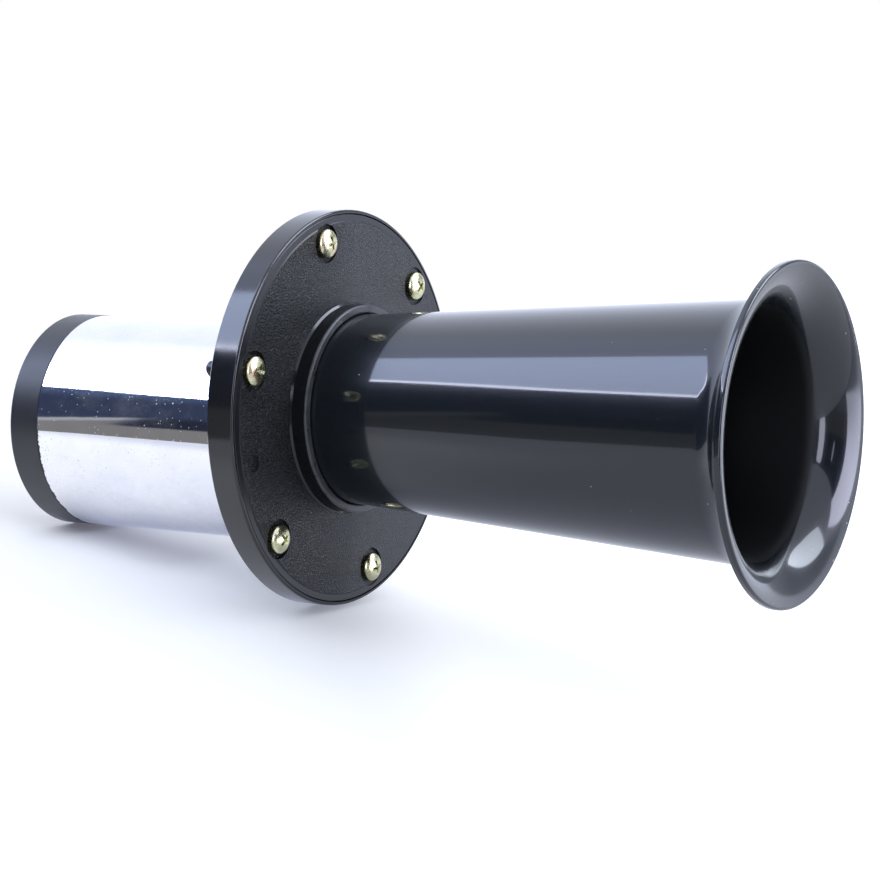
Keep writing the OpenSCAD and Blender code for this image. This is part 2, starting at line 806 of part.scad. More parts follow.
module brush_plate() {
    color([0.5, 0.35, 0.2]) difference() {
        tube(sleeve_x, brush_plate_x, sleeve_r, boss_r);
        at_tie_rods() rod(sleeve_x - past, brush_plate_x + past, rod_hole_r);
        terminal_slots(sleeve_x - past, brush_plate_x + past);
    }
}

module brush_holder() {
    back_x = brush_x - holder_half;
    difference() {
        translate([brush_plate_x, holder_y, -holder_half])
            cube([brush_x + holder_half - brush_plate_x, holder_end_y - holder_y, 2 * holder_half]);
        translate([brush_x - channel / 2, holder_y - past, -channel / 2])
            cube([channel, holder_end_y - holder_wall - holder_y + past, channel]);
    }
}

module brush_holders() {
    color([0.8, 0.68, 0.35]) for (side = [-1, 1]) on_side(side) brush_holder();
}

module brush() {
    color([0.15, 0.15, 0.16]) difference() {
        translate([brush_x - brush_w / 2, commutator_r - 1, -brush_w / 2])
            cube([brush_w, brush_back_y - commutator_r + 1, brush_w]);
        rod(brush_x - brush_w, brush_x + brush_w, brush_tip_r);
    }
}

module brush_left() {
    on_side(-1) brush();
}

module brush_right() {
    on_side(1) brush();
}

// A coil spring along Y between the brush and the end of its holder
module brush_spring() {
    wire_r = spring_wire / 2;
    y0 = brush_back_y + wire_r + 0.05;
    y1 = holder_end_y - holder_wall - wire_r - 0.05;
    rings = spring_turns * spring_steps;
    points = [
        for (i = [0:rings])
            for (j = [0:spring_sides - 1])
                let (a = 360 * i / spring_steps, b = 360 * j / spring_sides, r = spring_r + wire_r * cos(b))
                [r * cos(a), y0 + (y1 - y0) * i / rings + wire_r * sin(b), r * sin(a)]
    ];
    function at(i, j) = i * spring_sides + j % spring_sides;
    sides = [
        for (i = [0:rings - 1])
            for (j = [0:spring_sides - 1])
                each [[at(i, j), at(i + 1, j), at(i + 1, j + 1)], [at(i, j), at(i + 1, j + 1), at(i, j + 1)]]
    ];
    first = [for (j = [0:spring_sides - 1]) j];
    last = [for (j = [0:spring_sides - 1]) rings * spring_sides + spring_sides - 1 - j];
    color([0.7, 0.7, 0.72]) translate([brush_x, 0, 0]) polyhedron(points, concat(sides, [first, last]));
}

module brush_spring_left() {
    on_side(-1) brush_spring();
}

module brush_spring_right() {
    on_side(1) brush_spring();
}

module terminal() {
    tip = 1.4;
    hole_r = 0.9;
    difference() {
        translate([0, -terminal_t / 2, 0]) rotate([-90, 0, 0]) linear_extrude(height = terminal_t) polygon([
            [tip - terminal_out, -terminal_w / 2], [brush_plate_x, -terminal_w / 2],
            [brush_plate_x, terminal_w / 2], [tip - terminal_out, terminal_w / 2],
            [-terminal_out, terminal_w / 2 - tip], [-terminal_out, tip - terminal_w / 2]
        ]);
        translate([-terminal_out / 2, 0, 0]) rotate([90, 0, 0]) cylinder(h = 4 * terminal_t, r = hole_r, center = true);
    }
}

module terminals() {
    color([0.8, 0.68, 0.35]) for (side = [-1, 1]) translate([0, side * terminal_y, 0]) terminal();
}

// The ends for the bracket have the thread's full diameter, and the rest is as thin as the foot of the thread
module tie_rods() {
    tip = 0.6;
    neck_x = 0.1;
    color([0.7, 0.7, 0.72]) at_tie_rods() turned([
        [0, -rod_end], [rod_r - tip, -rod_end], [rod_r, tip - rod_end], [rod_r, neck_x],
        [rod_shank_r, neck_x + 0.2], [rod_shank_r, rod_front_x - tip], [rod_shank_r - tip, rod_front_x],
        [0, rod_front_x]
    ]);
}

module tie_rod_nuts() {
    x1 = well_depth - rod_washer_t;
    color([0.72, 0.72, 0.74]) at_tie_rods() hex_nut(x1 - rod_nut_h, x1, rod_nut_w, rod_shank_r + 0.02);
}

module tie_rod_washers() {
    color([0.7, 0.7, 0.72]) at_tie_rods() tube(well_depth - rod_washer_t, well_depth, rod_washer_r, rod_shank_r + 0.15);
}

module adjusting_screw() {
    tip = 0.6;
    slot_w = 1;
    slot_depth = 1.6;
    color([0.7, 0.7, 0.72]) difference() {
        turned([
            [0, -adjuster_out], [adjuster_r - tip, -adjuster_out], [adjuster_r, tip - adjuster_out],
            [adjuster_r, adjuster_in - tip], [adjuster_r - tip, adjuster_in], [0, adjuster_in]
        ]);
        translate([-adjuster_out - past, -adjuster_r - past, -slot_w / 2])
            cube([slot_depth + past, 2 * (adjuster_r + past), slot_w]);
    }
}

module lock_nut() {
    color([0.72, 0.72, 0.74]) hex_nut(dip_depth - lock_nut_h, dip_depth, lock_nut_w, adjuster_r + 0.02);
}

module thrust_ball() {
    color([0.8, 0.8, 0.82]) translate([ball_x, 0, 0]) sphere(r = ball_r);
}

trumpet();
front_flange();
front_gasket();
diaphragm();
rear_gasket();
rear_flange();
flange_screws();
striker_button();
button_washers();
ratchet_wheel();
wheel_nut();
motor_shaft();
thrust_washer();
armature_core();
armature_windings();
commutator_hub();
commutator_bars();
motor_can();
rear_cap();
bearing_plate();
front_bearing();
rear_bearing();
magnet_left();
magnet_right();
magnet_clip_upper();
magnet_clip_lower();
brush_plate();
brush_holders();
brush_left();
brush_right();
brush_spring_left();
brush_spring_right();
terminals();
tie_rods();
tie_rod_nuts();
tie_rod_washers();
adjusting_screw();
lock_nut();
thrust_ball();
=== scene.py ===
"""Looks for the motor-driven car horn: materials, finer meshes for two turned pieces, and a pale studio."""

import json
import math

import bmesh
import bpy
from mathutils import Matrix, Vector


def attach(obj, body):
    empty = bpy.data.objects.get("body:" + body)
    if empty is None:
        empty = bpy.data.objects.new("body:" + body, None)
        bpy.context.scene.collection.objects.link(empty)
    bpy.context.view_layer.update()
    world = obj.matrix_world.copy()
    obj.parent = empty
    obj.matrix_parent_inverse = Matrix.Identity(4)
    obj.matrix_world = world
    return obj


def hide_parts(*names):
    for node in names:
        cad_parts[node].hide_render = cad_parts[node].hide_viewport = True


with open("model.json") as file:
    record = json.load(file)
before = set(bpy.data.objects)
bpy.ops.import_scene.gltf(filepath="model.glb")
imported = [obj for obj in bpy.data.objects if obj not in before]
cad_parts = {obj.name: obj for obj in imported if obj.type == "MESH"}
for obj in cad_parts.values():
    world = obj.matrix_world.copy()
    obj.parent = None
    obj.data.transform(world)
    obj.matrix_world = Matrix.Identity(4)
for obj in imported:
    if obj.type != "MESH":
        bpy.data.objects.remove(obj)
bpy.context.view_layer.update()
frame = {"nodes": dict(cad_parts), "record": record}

NODES = frame["nodes"]

MM = 0.001
AXIS_Z = 9.2 * MM  # height of the flange and trumpet axis over the motor's axis
CAN_BACK, CAN_FRONT = 11.6, 96.8  # ends of the motor can, in millimetres
SCREW_END = 102.0 * MM  # the flange screws are dark behind this
COLLAR_EDGE = 117.5 * MM  # the collar's edge is lighter ahead of this: a painted highlight, partly wear
GRAIN_INNER, GRAIN_OUTER = 34.35 * MM, 60.35 * MM  # radii of the grained ring on the flange's face
BORE_END = 258.5 * MM  # where the trumpet's dull bore meets the polished flare
CHIPS_START, CHIPS_FULL = 267.2 * MM, 268.2 * MM  # chips fade in on the lip between these


# Camera: the photograph's viewpoint in the part's own frame

CAMERA_AZ = math.radians(31.515)
CAMERA_EL = math.radians(6.275)
CAMERA_AT = Vector((0.5871, -0.71824, 0.09348))
CAMERA_LENS = 109.39

camera_data = bpy.data.cameras.new("camera")
camera_data.lens = CAMERA_LENS
camera_data.sensor_width = 36.0
camera_data.clip_start = 0.01
camera_data.clip_end = 50.0
camera = bpy.data.objects.new("camera", camera_data)
bpy.context.scene.collection.objects.link(camera)
right = Vector((math.cos(CAMERA_AZ), math.sin(CAMERA_AZ), 0.0))
level_back = Vector((math.sin(CAMERA_AZ), -math.cos(CAMERA_AZ), 0.0))
back = level_back * math.cos(CAMERA_EL) + Vector((0.0, 0.0, math.sin(CAMERA_EL)))
up = back.cross(right)
camera.matrix_world = Matrix.Translation(CAMERA_AT) @ Matrix((right, up, back)).transposed().to_4x4()
bpy.context.scene.camera = camera
bpy.context.scene.view_settings.view_transform = "Standard"


# Node helpers


class Tree:
    """A short way to write a node tree: t.add("ShaderNodeMath", {0: a, 1: b}, operation="ADD")."""

    def __init__(self, tree):
        self.tree = tree
        tree.nodes.clear()

    def add(self, kind, ins=None, **props):
        node = self.tree.nodes.new(kind)
        for key, value in props.items():
            setattr(node, key, value)
        for key, value in (ins or {}).items():
            self.put(node, key, value)
        return node

    def put(self, node, key, value):
        if isinstance(value, bpy.types.Node):
            value = value.outputs[0]
        if isinstance(value, bpy.types.NodeSocket):
            self.tree.links.new(value, node.inputs[key])
        else:
            node.inputs[key].default_value = value

    def math(self, operation, a, b=0.0):
        return self.add("ShaderNodeMath", {0: a, 1: b}, operation=operation).outputs[0]

    def vector(self, operation, a, ins=None):
        """A vector of three numbers; ins holds the second input."""
        return self.add("ShaderNodeVectorMath", {0: a, **(ins or {})}, operation=operation).outputs["Vector"]

    def band(self, value, low, high):
        """0 below low, 1 above high, smooth between. With low over high it falls instead."""
        limits = {"Value": value, "From Min": low, "From Max": high}
        return self.add("ShaderNodeMapRange", limits, interpolation_type="SMOOTHSTEP").outputs[0]

    def span(self, value, low, high):
        """The number from low to high that a value from 0 to 1 stands for."""
        return self.add("ShaderNodeMapRange", {"Value": value, "To Min": low, "To Max": high}).outputs[0]

    def dot(self, a, b):
        return self.add("ShaderNodeVectorMath", {0: a, 1: b}, operation="DOT_PRODUCT").outputs["Value"]

    def blend(self, factor, a, b):
        """The number a where factor is 0 and b where it is 1."""
        return self.add("ShaderNodeMix", {0: factor, 2: a, 3: b}).outputs[0]

    def mix(self, factor, a, b):
        """The colour a where factor is 0 and b where it is 1."""
        node = self.add("ShaderNodeMix", {0: factor}, data_type="RGBA")
        self.put(node, 6, a)
        self.put(node, 7, b)
        return node.outputs[2]

    def noise(self, coords, scale, detail=3.0, rough=0.5):
        inputs = {"Vector": coords, "Scale": scale, "Detail": detail, "Roughness": rough}
        return self.add("ShaderNodeTexNoise", inputs).outputs["Fac"]

    def wave(self, scale, distortion, across="X"):
        inputs = {"Vector": self.coords(), "Scale": scale, "Distortion": distortion}
        return self.add("ShaderNodeTexWave", inputs, bands_direction=across).outputs["Fac"]

    def times(self, first, *others):
        """The product of several masks."""
        for other in others:
            first = self.math("MULTIPLY", first, other)
        return first

    def within(self, value, low, high, soft):
        """1 between low and high, 0 outside, with borders soft wide."""
        return self.times(self.band(value, low - soft, low), self.band(value, high + soft, high))

    def place(self):
        return self.add("ShaderNodeTexCoord").outputs["Object"]

    def normal(self):
        return self.add("ShaderNodeNewGeometry").outputs["Normal"]

    def split(self, vector):
        return self.add("ShaderNodeSeparateXYZ", {0: vector}).outputs

    def from_axis(self):
        """The vector from the flange and trumpet axis, square to it."""
        moved = self.vector("ADD", self.place(), {1: (0.0, 0.0, -AXIS_Z)})
        return self.vector("MULTIPLY", moved, {1: (0.0, 1.0, 1.0)})

    def flange_radius(self):
        """Distance from the flange and trumpet axis."""
        return self.add("ShaderNodeVectorMath", {0: self.from_axis()}, operation="LENGTH").outputs["Value"]

    def coords(self, scale=(1.0, 1.0, 1.0), turn=(0.0, 0.0, 0.0)):
        inputs = {"Vector": self.place(), "Scale": scale, "Rotation": turn}
        return self.add("ShaderNodeMapping", inputs).outputs[0]

    def bump(self, height, distance, normal=None):
        node = self.add("ShaderNodeBump", {"Height": height, "Distance": distance, "Strength": 1.0})
        if normal is not None:
            self.put(node, "Normal", normal)
        return node.outputs[0]


def rgb(r, g, b):
    return (r, g, b, 1.0)


def material(name, color, rough, metallic=0.0, bump=None, **sockets):
    """A Principled material. Its values are numbers, or functions that take the tree and give a socket."""
    mat = bpy.data.materials.new(name)
    mat.use_nodes = True
    t = Tree(mat.node_tree)
    shader = t.add("ShaderNodeBsdfPrincipled")
    out = t.add("ShaderNodeOutputMaterial", {"Surface": shader.outputs[0]})
    out.is_active_output = True
    t.put(shader, "Base Color", color(t) if callable(color) else color)
    t.put(shader, "Roughness", rough(t) if callable(rough) else rough)
    t.put(shader, "Metallic", metallic(t) if callable(metallic) else metallic)
    if bump:
        t.put(shader, "Normal", bump(t))
    for key, value in sockets.items():
        t.put(shader, key.replace("_", " "), value(t) if callable(value) else value)
    return mat


# Materials


def specks(t, scale, low, high, seed=0.0, cover=0.38):
    """Small spots that cover part of the surface: 1 on a spot, 0 off it."""
    place = t.coords(turn=(0.3 + seed, 0.7, 1.1 + seed))
    cells = t.add("ShaderNodeTexVoronoi", {"Vector": place, "Scale": scale, "Randomness": 1.0})
    near = t.band(cells.outputs["Distance"], high, low)
    chosen = t.band(t.noise(place, scale * 0.11, 2.0), 0.96 - cover, 1.04 - cover)
    return t.times(near, chosen)


def gloss_black():
    """High-gloss enamel, with a dull bore coloured darker as painted shade, and a few chips at the bell's
    lip.
    """

    top_weight = 0.74

    def bore(t):
        """1 on the inside of the trumpet, up to where the flare turns outwards."""
        x = t.split(t.place())[0]
        facing = t.dot(t.normal(), t.vector("NORMALIZE", t.from_axis()))
        return t.times(t.band(facing, 0.0, -0.2), t.band(x, BORE_END + 1.0 * MM, BORE_END - 1.0 * MM))

    def chips(t):
        """Bare spots on the far side of the lip, in a few groups."""
        place = t.coords()
        x, y, _ = t.split(place)
        edge = t.times(t.band(t.flange_radius(), 49.8 * MM, 50.2 * MM), t.band(x, CHIPS_START, CHIPS_FULL))
        edge = t.times(edge, t.band(y, 20.0 * MM, 35.0 * MM))
        spots = t.band(t.noise(place, 700.0, 3.0, 0.65), 0.58, 0.62)
        return t.times(edge, spots, t.band(t.noise(place, 48.0, 1.0), 0.5, 0.56))

    def flecks(t):
        return specks(t, 170.0, 0.02, 0.055, 0.8, 0.5)

    def dull(t):
        """1 where the enamel has no gloss."""
        return t.math("MAXIMUM", t.math("MAXIMUM", bore(t), chips(t)), flecks(t))

    def color(t):
        dust = specks(t, 420.0, 0.03, 0.09)
        enamel = t.mix(dust, rgb(0.009, 0.0122, 0.0165), rgb(0.06, 0.06, 0.065))
        enamel = t.mix(flecks(t), enamel, rgb(0.45, 0.46, 0.48))
        # the bore is coloured darker than the enamel: painted shade inside the trumpet
        return t.mix(chips(t), t.mix(bore(t), enamel, rgb(0.003, 0.0036, 0.004)), rgb(0.3, 0.3, 0.31))

    def rough(t):
        return t.blend(dull(t), 0.25, 0.42)

    def shine(t):
        """The enamel's soft second reflection, and the plain shine of the dull places."""
        return t.blend(dull(t), 0.14, 0.5)

    def coat(t):
        return t.math("MULTIPLY", t.math("SUBTRACT", 1.0, dull(t)), top_weight)

    def polish(t):
        return t.span(t.noise(t.coords(), 38.0, 4.0), 0.045, 0.085)

    def bump(t):
        peel = t.noise(t.coords(), 260.0, 2.0)
        wave = t.noise(t.coords(), 34.0, 1.0)
        chip = t.bump(chips(t), -0.08 * MM)
        return t.bump(peel, 0.0012 * MM, t.bump(wave, 0.012 * MM, chip))

    top = {"Coat_Weight": coat, "Coat_Roughness": polish, "Coat_Normal": bump}
    return material("gloss_black", color, rough, 0.0, bump, Specular_IOR_Level=shine, **top)


def grained_black():
    """Leather grain on the flat face, smooth enamel on the border and the collar."""

    def face(t):
        facing = t.split(t.normal())[0]
        ring = t.within(t.flange_radius(), GRAIN_INNER, GRAIN_OUTER, 0.15 * MM)
        return t.times(ring, t.band(facing, 0.9, 0.97))

    def grain(t):
        place = t.coords()
        warp = t.add("ShaderNodeTexNoise", {"Vector": place, "Scale": 900.0, "Detail": 2.0}).outputs["Color"]
        bent = t.vector("SCALE", t.vector("SUBTRACT", warp, {1: (0.5, 0.5, 0.5)}), {"Scale": 0.8 * MM})
        pebbles = {"Vector": t.vector("ADD", place, {1: bent}), "Scale": 1250.0}
        middle = t.add("ShaderNodeTexVoronoi", pebbles, feature="F1").outputs["Distance"]
        rim = t.add("ShaderNodeTexVoronoi", pebbles, feature="DISTANCE_TO_EDGE").outputs["Distance"]
        return t.math("ADD", t.band(rim, 0.0, 0.22), t.math("MULTIPLY", middle, -0.5))

    def relief(t):
        """How deep the grain is: the paint has filled it more on the far side."""
        y = t.split(t.place())[1]
        return t.blend(t.band(y, 8.0 * MM, -32.0 * MM), 0.25, 1.4)

    def collar_highlight_and_wear(t):
        """The front edge of the collar, lighter and rougher in streaks: a painted highlight, partly wear."""
        x = t.split(t.place())[0]
        streaks = t.band(t.noise(t.coords((3.0, 1.0, 1.0)), 150.0, 3.0, 0.6), 0.12, 0.58)
        return t.times(t.band(x, COLLAR_EDGE - 0.2 * MM, COLLAR_EDGE + 0.2 * MM), streaks)

    def color(t):
        worn = t.noise(t.coords(), 60.0, 4.0)
        rough_paint = t.mix(t.band(worn, 0.35, 0.75), rgb(0.004, 0.006, 0.0068), rgb(0.0088, 0.0108, 0.0116))
        paint = t.mix(face(t), rgb(0.008, 0.0088, 0.0108), rough_paint)
        # the collar's edge is painted lighter: a painted highlight, partly wear
        return t.mix(collar_highlight_and_wear(t), paint, rgb(0.07, 0.074, 0.082))

    def rough(t):
        grained = t.span(t.times(grain(t), relief(t)), 0.4, 0.26)
        polish = t.span(t.noise(t.coords(), 90.0), 0.1, 0.16)
        border = t.band(t.flange_radius(), 40.0 * MM, 50.0 * MM)
        smooth = t.blend(border, polish, 0.34)
        smooth = t.blend(collar_highlight_and_wear(t), smooth, 0.36)
        return t.blend(face(t), smooth, grained)

    def bump(t):
        height = t.times(grain(t), relief(t), face(t))
        wave = t.bump(t.noise(t.coords(), 300.0, 2.0), 0.003 * MM)
        return t.bump(height, 0.34 * MM, wave)

    return material("grained_black", color, rough, 0.0, bump, Specular_IOR_Level=0.37)


def satin_black():
    def color(t):
        cloud = t.noise(t.coords(), 24.0, 4.0)
        return t.mix(t.band(cloud, 0.3, 0.7), rgb(0.010, 0.011, 0.0135), rgb(0.013, 0.014, 0.017))

    def rough(t):
        return t.span(t.noise(t.coords(), 90.0, 4.0), 0.08, 0.16)

    def bump(t):
        return t.bump(t.noise(t.coords(), 900.0, 2.0), 0.004 * MM)

    return material("satin_black", color, rough, 0.0, bump)


def cap_black():
    def color(t):
        cloud = t.noise(t.coords(), 40.0, 5.0, 0.6)
        return t.mix(t.band(cloud, 0.3, 0.7), rgb(0.012, 0.0135, 0.018), rgb(0.019, 0.021, 0.027))

    def rough(t):
        return t.span(t.noise(t.coords(), 200.0, 4.0), 0.36, 0.48)

    def bump(t):
        return t.bump(t.noise(t.coords(), 1400.0, 3.0), 0.012 * MM)

    return material("cap_black", color, rough, 0.0, bump, Specular_IOR_Level=0.44)


def mirror_chrome():
    """Polished plate with hairlines, white dust and a few flecks."""

    def dust(t):
        fine = specks(t, 690.0, 0.05, 0.18, 0.0, 0.55)
        flecks = specks(t, 210.0, 0.03, 0.08, 0.4, 0.5)
        cloud = t.noise(t.coords((0.7, 1.0, 1.0)), 130.0, 5.0, 0.7)
        veil = t.math("MULTIPLY", t.band(cloud, 0.42, 0.72), 0.1)
        return t.math("MAXIMUM", t.math("MAXIMUM", fine, flecks), veil)

    def soot(t):
        """A ragged dark line where the plate meets the cap, on the lower side."""
        x, _, z = t.split(t.place())
        ragged = t.band(t.noise(t.coords(), 330.0, 4.0, 0.7), 0.38, 0.68)
        reach = t.math("ADD", t.math("MULTIPLY", ragged, 0.9 * MM), CAN_BACK * MM + 0.02 * MM)
        near = t.band(t.math("SUBTRACT", x, reach), 0.05 * MM, -0.05 * MM)
        return t.times(near, t.band(z, 6.0 * MM, -2.0 * MM))

    def color(t):
        cloud = t.noise(t.coords(), 55.0, 4.0)
        plate = t.mix(t.band(cloud, 0.35, 0.7), rgb(0.64, 0.64, 0.645), rgb(0.6, 0.605, 0.63))
        return t.mix(soot(t), t.mix(dust(t), plate, rgb(0.66, 0.7, 0.8)), rgb(0.02, 0.02, 0.025))

    def rough(t):
        streak = t.noise(t.coords((30.0, 260.0, 260.0)), 3.0, 5.0, 0.6)
        film = t.span(streak, 0.015, 0.06)
        dull_spots = t.band(t.math("MAXIMUM", dust(t), soot(t)), 0.2, 0.9)
        return t.math("ADD", film, t.math("MULTIPLY", dull_spots, 0.6))

    def bump(t):
        roll = t.noise(t.coords((1.0, 0.35, 0.35)), 60.0, 2.0)
        fine = t.noise(t.coords((40.0, 900.0, 900.0)), 1.0, 3.0)
        dents = t.noise(t.coords((0.8, 1.6, 1.6)), 240.0, 3.0)
        base = t.bump(dents, 0.0016 * MM, t.bump(roll, 0.006 * MM))
        return t.bump(fine, 0.0004 * MM, base)

    def metallic(t):
        return t.math("SUBTRACT", 1.0, t.math("MAXIMUM", dust(t), soot(t)))

    return material("mirror_chrome", color, rough, metallic, bump)


def plated(name, low, high, rough_low, rough_high, scale=180.0):
    """Bare or plated metal, cloudy between two colours and two roughness values."""

    def color(t):
        cloud = t.noise(t.coords(), scale, 4.0, 0.6)
        return t.mix(t.band(cloud, 0.35, 0.65), rgb(*low), rgb(*high))

    def rough(t):
        return t.span(t.noise(t.coords(), scale * 3.0, 3.0), rough_low, rough_high)

    def bump(t):
        return t.bump(t.noise(t.coords(), scale * 9.0, 3.0), 0.01 * MM)

    return material(name, color, rough, 1.0, bump)


def screw_plating():
    """Yellow zinc on the heads; the ends that stand out behind the flange are coloured dark and rougher."""

    def film(t):
        return t.band(t.split(t.place())[0], SCREW_END + 1.0 * MM, SCREW_END - 1.0 * MM)

    def color(t):
        cloud = t.noise(t.coords(), 420.0, 4.0, 0.6)
        hue = t.noise(t.coords(turn=(0.4, 0.2, 0.9)), 190.0, 2.0)
        plate = t.mix(t.band(cloud, 0.35, 0.65), rgb(0.48, 0.46, 0.25), rgb(0.62, 0.62, 0.42))
        tinted = t.mix(t.band(hue, 0.5, 0.7), plate, rgb(0.60, 0.47, 0.30))
        # dark colour on the screw ends behind the flange
        return t.mix(film(t), tinted, rgb(0.05, 0.05, 0.055))

    def rough(t):
        return t.blend(film(t), t.span(t.noise(t.coords(), 800.0, 3.0), 0.18, 0.34), 0.45)

    def bump(t):
        return t.bump(t.noise(t.coords(), 1500.0, 3.0), 0.02 * MM)

    return material("yellow_zinc", color, rough, 1.0, bump)


def matt(name, low, high, rough_low, rough_high, scale=140.0, depth=0.03 * MM):
    """Pressed or sintered matter without metal's shine."""

    def color(t):
        cloud = t.noise(t.coords(), scale, 5.0, 0.65)
        return t.mix(t.band(cloud, 0.3, 0.7), rgb(*low), rgb(*high))

    def rough(t):
        return t.span(t.noise(t.coords(), scale * 2.0, 3.0), rough_low, rough_high)

    def bump(t):
        return t.bump(t.noise(t.coords(), scale * 8.0, 3.0), depth)

    return material(name, color, rough, 0.0, bump)


def laminated():
    """Thin steel sheets stacked along X."""

    def sheets(t):
        return t.wave(320.0, 0.4)

    def color(t):
        return t.mix(t.band(sheets(t), 0.2, 0.8), rgb(0.1, 0.1, 0.11), rgb(0.3, 0.3, 0.32))

    def bump(t):
        return t.bump(sheets(t), 0.04 * MM)

    return material("lamination_steel", color, 0.42, 1.0, bump)


def wound():
    """Enamelled wire under varnish: fine turns along the bundles."""

    def color(t):
        cloud = t.noise(t.coords(), 120.0, 4.0)
        return t.mix(t.band(cloud, 0.3, 0.7), rgb(0.3, 0.09, 0.025), rgb(0.5, 0.19, 0.06))

    def bump(t):
        return t.bump(t.wave(420.0, 2.0, "Z"), 0.08 * MM)

    return material("copper_wire", color, 0.3, 0.6, bump, Coat_Weight=0.5, Coat_Roughness=0.2)


MATERIALS = {
    "gloss_black": gloss_black(),
    "grained_black": grained_black(),
    "satin_black": satin_black(),
    "cap_black": cap_black(),
    "mirror_chrome": mirror_chrome(),
    "yellow_zinc": screw_plating(),
    "bright_zinc": plated("bright_zinc", (0.52, 0.54, 0.57), (0.68, 0.69, 0.7), 0.2, 0.36),
    "bright_steel": plated("bright_steel", (0.5, 0.5, 0.52), (0.62, 0.62, 0.63), 0.14, 0.24),
    "spring_steel": plated("spring_steel", (0.34, 0.34, 0.35), (0.48, 0.48, 0.49), 0.24, 0.38),
    "hard_steel": plated("hard_steel", (0.18, 0.18, 0.2), (0.3, 0.3, 0.31), 0.3, 0.42),
    "pressed_steel": plated("pressed_steel", (0.42, 0.43, 0.44), (0.55, 0.56, 0.58), 0.3, 0.44, 90.0),
    "lamination_steel": laminated(),
    "copper_wire": wound(),
    "copper_bars": plated("copper_bars", (0.55, 0.24, 0.11), (0.7, 0.36, 0.2), 0.24, 0.4),
    "terminal_brass": plated("terminal_brass", (0.66, 0.48, 0.18), (0.76, 0.6, 0.28), 0.22, 0.36),
    "bearing_bronze": plated("bearing_bronze", (0.36, 0.25, 0.11), (0.5, 0.36, 0.18), 0.4, 0.55),
    "brown_laminate": matt("brown_laminate", (0.11, 0.05, 0.02), (0.2, 0.1, 0.045), 0.4, 0.55),
    "gasket_fibre": matt("gasket_fibre", (0.1, 0.07, 0.04), (0.2, 0.145, 0.09), 0.8, 0.95, 300.0, 0.1 * MM),
    "ferrite": matt("ferrite", (0.02, 0.02, 0.023), (0.045, 0.045, 0.05), 0.5, 0.65),
    "carbon": matt("carbon", (0.018, 0.018, 0.02), (0.04, 0.04, 0.044), 0.55, 0.7),
}

SLOT_OF = {entry["node"]: entry["material_slot"] for entry in frame["record"]["subparts"]}
SMOOTH_SOLID, SMOOTH_SKIN = 40.0, 30.0  # degrees


def shade(obj, slot, smooth_angle):
    """One material for the whole piece, smooth across edges flatter than the angle in degrees."""
    obj.data.materials.clear()
    obj.data.materials.append(MATERIALS[slot])
    for face in obj.data.polygons:
        face.material_index = 0
    obj.data.shade_smooth()
    obj.data.set_sharp_from_angle(angle=math.radians(smooth_angle))


for node_name, node_object in NODES.items():
    shade(node_object, SLOT_OF[node_name], SMOOTH_SOLID)


# Finer meshes for two turned pieces, of the same form as their solids. Lengths in loops are in millimetres

SEGMENTS = 288  # around the axis
LONGEST_RUN = 3.0
END_CUT = 0.12  # keeps the shading of a straight run clear of the corner beside it


def arc(middle_r, middle_x, radius, first, last, steps):
    """Points (radius, x) of an arc about a middle, from a first to a last angle in degrees."""
    points = []
    for i in range(steps + 1):
        angle = math.radians(first + (last - first) * i / steps)
        points.append((middle_r + radius * math.cos(angle), middle_x + radius * math.sin(angle)))
    return points


def dense(loop):
    """The closed loop with its long straight runs cut into short ones, finer at their ends."""
    points = []
    for i, start in enumerate(loop):
        end = loop[(i + 1) % len(loop)]
        length = math.dist(start, end)
        points.append(start)
        count = int(length / LONGEST_RUN)
        cuts = [k / (count + 1) for k in range(1, count + 1)]
        if length > LONGEST_RUN:
            cuts = [END_CUT / length] + cuts + [1 - END_CUT / length]
        run = (end[0] - start[0], end[1] - start[1])
        points += [(start[0] + run[0] * cut, start[1] + run[1] * cut) for cut in cuts]
    return points


def lathe(name, loop, axis_z=0.0):
    """Turns a closed loop of (radius, x) points about a line along X, at height axis_z in metres."""
    bm = bmesh.new()
    turns = [2 * math.pi * k / SEGMENTS for k in range(SEGMENTS)]
    rings = []
    for r, x in dense(loop):
        spots = [(x * MM, r * MM * math.sin(a), axis_z + r * MM * math.cos(a)) for a in turns]
        rings.append([bm.verts.new(spot) for spot in spots])
    for i, ring in enumerate(rings):
        after = rings[(i + 1) % len(rings)]
        for k in range(SEGMENTS):
            n = (k + 1) % SEGMENTS
            bm.faces.new((ring[k], ring[n], after[n], after[k]))
    bmesh.ops.recalc_face_normals(bm, faces=bm.faces)
    mesh = bpy.data.meshes.new(name)
    bm.to_mesh(mesh)
    bm.free()
    piece = bpy.data.objects.new(name, mesh)
    bpy.context.scene.collection.objects.link(piece)
    return piece


def stand_in(piece, node_name, body):
    """Dresses a finer piece and lets it stand for its node."""
    shade(piece, SLOT_OF[node_name], SMOOTH_SKIN)
    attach(piece, body)
    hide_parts(node_name)


WALL = 2.1  # of the trumpet
SPIGOT_R, SPIGOT_BACK, SPIGOT_FRONT = 30.7, 111.8, 121.7  # the straight end that sits in the collar
CHAMFER_R, CHAMFER_X = 0.4, 0.6
FLARE_R, FLARE_X = 52.72, 253.93  # middle of the flare's two arcs
FLARE_OUTER = 13.213  # radius of the arc on the outside
FLARE_START, FLARE_END = 177.7, 98.0  # degrees
FLARE_STEPS = 40
LIP_R, LIP_X, LIP_ROUND = 50.7, 268.34, 0.8
LIP_STEPS = 14
LIP_CORNER = [(51.2, 267.0), (51.42, 267.06), (51.5, 267.24)]
CAN_OUTER, CAN_INNER, CAN_ROUND = 35.8, 34.3, 0.3
CAN_STEPS = 5


